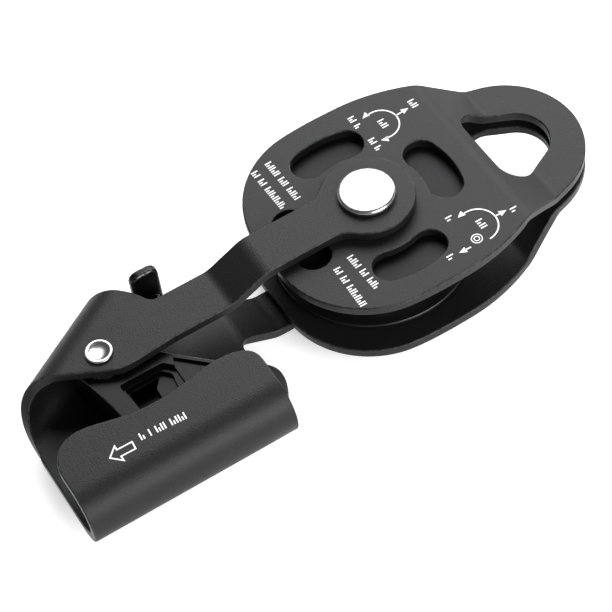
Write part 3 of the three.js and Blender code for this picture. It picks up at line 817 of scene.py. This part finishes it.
def cam_outline():
    first, last, teeth = CAM_TEETH
    step = (first - last) / teeth
    edge = []
    for tooth in range(teeth):
        angle = first - tooth * step
        edge += [spiral(angle, TOOTH_DEPTH), spiral(angle - TOOTH_SLANT * step)]
    hub = arc(0, CAM_HUB_R, *HUB_ANGLES)
    return outline(
        hub, swoop(hub[-1], -5 - 12j, -3.9 - 20j), [-3.6 - 28.6j], edge,
        swoop(spiral(last, TOOTH_DEPTH), 27.6 - 30j, 25.9 - 18j), swoop(17.9 - 10j, 11.5 - 3.6j, hub[0]),
    )


def block(corners, low, high, edge):
    """A flat outline about the pin made solid between two heights, with rounded edges."""
    solid = stamped([corners], high - low, edge)
    bmesh.ops.translate(solid, verts=solid.verts, vec=(0, 0, (low + high) / 2))
    return solid


def carved(solid, cutters):
    """A solid less several others, as a new mesh about the pin."""
    body = bpy.data.objects.new("carved", bpy.data.meshes.new("carved"))
    solid.to_mesh(body.data)
    bpy.context.scene.collection.objects.link(body)
    tools = []
    for cutter in cutters:
        tool = bpy.data.objects.new("cutter", bpy.data.meshes.new("cutter"))
        bmesh.ops.recalc_face_normals(cutter, faces=cutter.faces)
        cutter.to_mesh(tool.data)
        bpy.context.scene.collection.objects.link(tool)
        cut = body.modifiers.new("cut", "BOOLEAN")
        cut.operation = "DIFFERENCE"
        cut.object = tool
        tools.append(tool)
    depsgraph = bpy.context.evaluated_depsgraph_get()
    result = bmesh.new()
    result.from_mesh(body.evaluated_get(depsgraph).to_mesh())
    for used in [body, *tools]:
        bpy.data.objects.remove(used)
    return result


def pocket(corners, floor, flare):
    """A cutter whose walls lean outwards, as a casting's pocket needs, from its floor to above the cam."""
    rims = []
    middle = np.mean(corners)
    mesh = bmesh.new()
    for height, grow in ((floor, 0.0), (CAM_TOP + 1, flare)):
        spread = corners + grow * (corners - middle) / abs(corners - middle)
        rims.append([mesh.verts.new((p.real, p.imag, height)) for p in spread])
    for i in range(len(corners)):
        mesh.faces.new([rims[0][i - 1], rims[0][i], rims[1][i], rims[1][i - 1]])
    mesh.faces.new(rims[0])
    mesh.faces.new(rims[1][::-1])
    return mesh


def blacked(place):
    """Blackened cast steel: pitted and half shiny. Its edges are rubbed bright, with painted highlights in
    patches there too.
    """
    pits = place.noise(1500, 4)
    skin = place.noise(260, 3)
    # Lighter patches along the rounded edges: partly rubbed steel, partly painted highlight and glints.
    rubbed_and_highlit_edges = marked(place, "rounded_edge") * pits.clipped(0.35, 0.6) * 0.8
    return {
        "Base Color": rubbed_and_highlit_edges.between(BLACKED, RUBBED_STEEL_AND_HIGHLIGHT),
        "Roughness": pits * 0.16 + skin * 0.10 + 0.20,
        "Normal": (pits * 0.7 + skin * 0.5).relief(0.00004, 0.5),
    }


blackened = coated("blackened_steel", {"Metallic": 0.75}, blacked)
shallow = eased(np.array([0.3 - 10.4j, 13.2 - 10.6j, 15.6 - 13.2j, 15.6 - 24.5j, 1 - 24.5j]), 0.8)
middle_step = eased(np.array([1 - 11.3j, 12 - 11.3j, 14.2 - 13.8j, 12.5 - 23.6j, 1.6 - 23.6j]), 0.8)
deep = eased(np.array([1.6 - 12.2j, 10.8 - 12.2j, 8.4 - 15j, 8.4 - 23j, 2.2 - 23j]), 0.8)
nose = np.array([16.6 - 10.4j, 28 - 21.8j, 30 - 30j, 15.6 - 32j, 15.6 - 13.2j])
shallow_floor, middle_floor, deep_floor = POCKET_FLOORS
exit_r, exit_reach, exit_start, exit_end = SPRING_EXIT
spring_exit = outline(arc(0, exit_reach, exit_start, exit_end), arc(0, exit_r, exit_end, exit_start))
body = carved(block(cam_outline(), -CAM_TOP, CAM_TOP, 0.3), [
    pocket(shallow, shallow_floor, 0.5), pocket(middle_step, middle_floor, 0.4),
    pocket(deep, deep_floor, 0.5), pocket(nose, NOSE_TOP, 0.1),
    turned(np.array([0j, SEAT_R, SEAT_R - 8j, -8j]) + 1j * SEAT_TOP, 48),
    block(spring_exit, -CAM_TOP - 1, SPRING_EXIT_TOP, 0.1),
    turned(np.array([-9j, CAM_BORE_R - 9j, CAM_BORE_R + 9j, 9j]), 48),
])
bmesh.ops.translate(body, verts=body.verts, vec=(PIN.real, 0, 0))
cam = made("cam_body", body, blackened)
softened = cam.modifiers.new("softened_edges", "BEVEL")
softened.width = SOFTENING
softened.segments = 2
softened.angle_limit = math.radians(40)
softened.harden_normals = True
cam.modifiers.move(1, 0)
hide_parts("cam")
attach(cam, "cam")

# ---- thumb lever ----
# A lever cast in one with the cam. It runs out past the fold to an upright pad with rounded corners and well
# rounded edges for the thumb.
LEVER_ANGLE = 31
LEVER_HALF = 2.5
LEVER_EDGE = 0.6
PAD_X = (17.8, 26.4)
PAD_Y = (13.9, 16.6)
PAD_HALF = 12.7
PAD_CORNER = 3
PAD_EDGE = 0.9

stem = outline([5 - 2.2j, 28.5 - 2.2j, 26 + 2.2j, 4 + 2.2j]) * np.exp(1j * math.radians(LEVER_ANGLE))
stem_block = block(stem, -LEVER_HALF, LEVER_HALF, LEVER_EDGE)
(pad_left, pad_right), pad_end = PAD_X, 1j * PAD_HALF
pad_corners = np.array([pad_left - pad_end, pad_right - pad_end, pad_right + pad_end, pad_left + pad_end])
pad = block(eased(pad_corners, PAD_CORNER), 0, PAD_Y[1] - PAD_Y[0], PAD_EDGE)
bmesh.ops.rotate(pad, verts=pad.verts, matrix=Matrix.Rotation(math.pi / 2, 3, "X"))
bmesh.ops.translate(pad, verts=pad.verts, vec=(0, PAD_Y[1], 0))
for name, shape in (("cam_lever", stem_block), ("cam_thumb_pad", pad)):
    bmesh.ops.translate(shape, verts=shape.verts, vec=(PIN.real, 0, 0))
    piece = made(name, shape, blackened)
    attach(piece, "cam")

# ---- cam pin ----
# A solid steel rivet through both plates of the clamp, headed over with a deep round dish, and the steel
# washers that centre the cam on it.
PIN_R = 3.5
PIN_HEAD_R = 3.95
PLATE_FACE = 9.9
PIN_TOP = 10.8
PIN_DISH = 0.75

rivet_steel = coated("rivet_steel", {"Metallic": 1.0}, polished(PIN))
upper_head = outline(
    swoop(1j * (PIN_TOP - PIN_DISH), 2.3 + 1j * (PIN_TOP - 0.7), 3.0 + 1j * PIN_TOP)[::2],
    swoop(3.5 + 1j * PIN_TOP, PIN_HEAD_R + 1j * PIN_TOP, PIN_HEAD_R + 1j * (PIN_TOP - 0.45))[::3],
    [PIN_HEAD_R + 1j * PLATE_FACE, PIN_R + 1j * PLATE_FACE],
)
pin = made("cam_rivet", turned(outline(upper_head, upper_head[::-1].conj()), 96, PIN), rivet_steel)
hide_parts("cam_pin")
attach(pin, "yoke")
for node in ("front_cam_washer", "rear_cam_washer"):
    frame["nodes"][node].data.materials.clear()
    frame["nodes"][node].data.materials.append(rivet_steel)

# ---- printed marks ----
# Thin white screen prints: load arrows round two arcs and rows of ticks on the front cheek, and the rope's
# way on the clamp. The ticks stand where a maker would print its ratings.
PRINT_DEPTH = 0.03
LINE = 0.44
RING_LINE = 0.3
HEAD_LENGTH = 2.2
SHORT_TICK = 0.55
CHEEK_FACE = CHEEK_MIDDLE + SHEET / 2
PRINT_WHITE = (0.80, 0.80, 0.80)
PRINT_THIN = (0.45, 0.45, 0.45)


def printing(place):
    """Matt white ink, a little thin in places."""
    thin = place.noise(1800, 3).clipped(0.58, 0.8)
    return {
        "Base Color": (thin * 0.7).between(PRINT_WHITE, PRINT_THIN),
        "Roughness": thin * 0.2 + 0.45,
    }


def stroke(path, closed=False, width=LINE):
    """The two sides of a line through some points, mitred at its corners, and whether its ends meet."""
    path = np.asarray(path, complex)
    ways = np.diff(path, append=path[:1])
    ways /= abs(ways)
    before = np.roll(ways, 1)
    if not closed:
        ways[-1], before[0] = ways[-2], ways[0]
    corner = 1j * (before + ways) / (1 + (before * ways.conj()).real)
    return path + corner * width / 2, path - corner * width / 2, closed


def arrow_head(tip, degrees, length=HEAD_LENGTH, half_width=1.0):
    """A filled arrowhead that points a given way."""
    way = np.exp(1j * math.radians(degrees))
    back = tip - length * way
    return np.array([back + half_width * 1j * way, tip]), np.array([back - half_width * 1j * way, tip]), False


def arrow(start, tip):
    """A straight arrow with a filled head."""
    way = (tip - start) / abs(tip - start)
    return stroke([start, tip - HEAD_LENGTH * way]), arrow_head(tip, math.degrees(np.angle(way)))


def ticks(start, end, groups, height=2.1, blank=1.4):
    """A row of thin upright ticks in groups, every third one short, from one point to another."""
    way = (end - start) / abs(end - start)
    pitch = abs(end - start) / (sum(groups) + blank * (len(groups) - 1))
    row = []
    along = 0.5 * pitch
    for group in groups:
        for i in range(group):
            foot = start + way * along - 0.5j * way * height
            tall = height * (SHORT_TICK if i % 3 == 1 else 1)
            row.append(stroke([foot, foot + 1j * way * tall]))
            along += pitch
        along += blank * pitch
    return row


def printed(name, lines, face, body):
    """Lines printed a hair's breadth proud of a face."""
    mesh = bmesh.new()
    for left, right, closed in lines:
        rings = []
        for one, other in zip(left, right):
            corners = [(one, -PRINT_DEPTH), (one, PRINT_DEPTH), (other, PRINT_DEPTH), (other, -PRINT_DEPTH)]
            rings.append([mesh.verts.new((p.real, p.imag, face + height)) for p, height in corners])
        for ring, following in zip(rings, rings[1:] + rings[:1] if closed else rings[1:]):
            for i in range(4):
                mesh.faces.new([ring[i - 1], ring[i], following[i], following[i - 1]])
        if not closed:
            mesh.faces.new(rings[0])
            mesh.faces.new(rings[-1][::-1])
    bmesh.ops.remove_doubles(mesh, verts=mesh.verts, dist=1e-4)
    piece = made(name, mesh, ink, evened=False)
    piece.data.polygons.foreach_set("use_smooth", [False] * len(piece.data.polygons))
    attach(piece, body)


ink = coated("white_ink", {"Metallic": 0.0}, printing)
far_marks = [
    stroke(arc(18.3 + 22j, 5.3, -104, 104)), arrow_head(15.2 + 26.9j, 200), arrow_head(15.2 + 17.1j, 160),
    *arrow(23.5 + 22.3j, 28 + 22.6j),
    *ticks(19 + 23.8j, 19 + 20.2j, (4,)), *ticks(30 + 25j, 30 + 21.6j, (4,)),
    *ticks(12.6 + 29.6j, 12.6 + 24.6j, (3, 2)), *ticks(13.1 + 19.4j, 13.1 + 14.4j, (3, 2)),
]
near_marks = [
    stroke(arc(20.6 - 24j, 5.7, -88, 100)), arrow_head(17.6 - 18.6j, 194), *arrow(26.3 - 24.1j, 30 - 24.1j),
    *arrow(15 - 29.1j, 11.2 - 28.9j),
    *ticks(21.8 - 22.2j, 21.8 - 25.8j, (4,)), *ticks(31.9 - 24j, 31.9 - 26j, (2,)),
    *ticks(15.6 - 16.4j, 15.6 - 18.4j, (2,)), *ticks(8.6 - 27.7j, 8.6 - 29.7j, (2,)),
    *(stroke(arc(17.9 - 27.6j, size, 0, end), True, RING_LINE) for size, end in ((1.5, 345), (0.75, 330))),
]
ratings = [
    *ticks(-15.4 + 29j, -15 + 12.6j, (7, 4, 6)), *ticks(-20.3 + 28.4j, -19.9 + 12.2j, (3, 3, 11)),
    *ticks(-13.8 - 12.4j, -13.2 - 26j, (6, 3, 5)), *ticks(-18.9 - 13.8j, -19.4 - 29j, (3, 3, 10)),
]
cheek_prints = {"far_load_print": far_marks, "near_load_print": near_marks, "rating_print": ratings}
for name, lines in cheek_prints.items():
    printed(name, lines, CHEEK_FACE, "front_cheek")
rope_way = [
    -99.2 - 31.1j, -96.5 - 28.6j, -96.5 - 29.9j, -92 - 30j, -92.2 - 32.4j, -96.5 - 32.3j, -96.5 - 33.8j,
]
clamp_marks = [stroke(rope_way, True), *ticks(-89.8 - 29.9j, -76.1 - 30.8j, (2, 1, 4, 6), 2.3)]
printed("rope_way_print", clamp_marks, PLATE_FACE, "yoke")
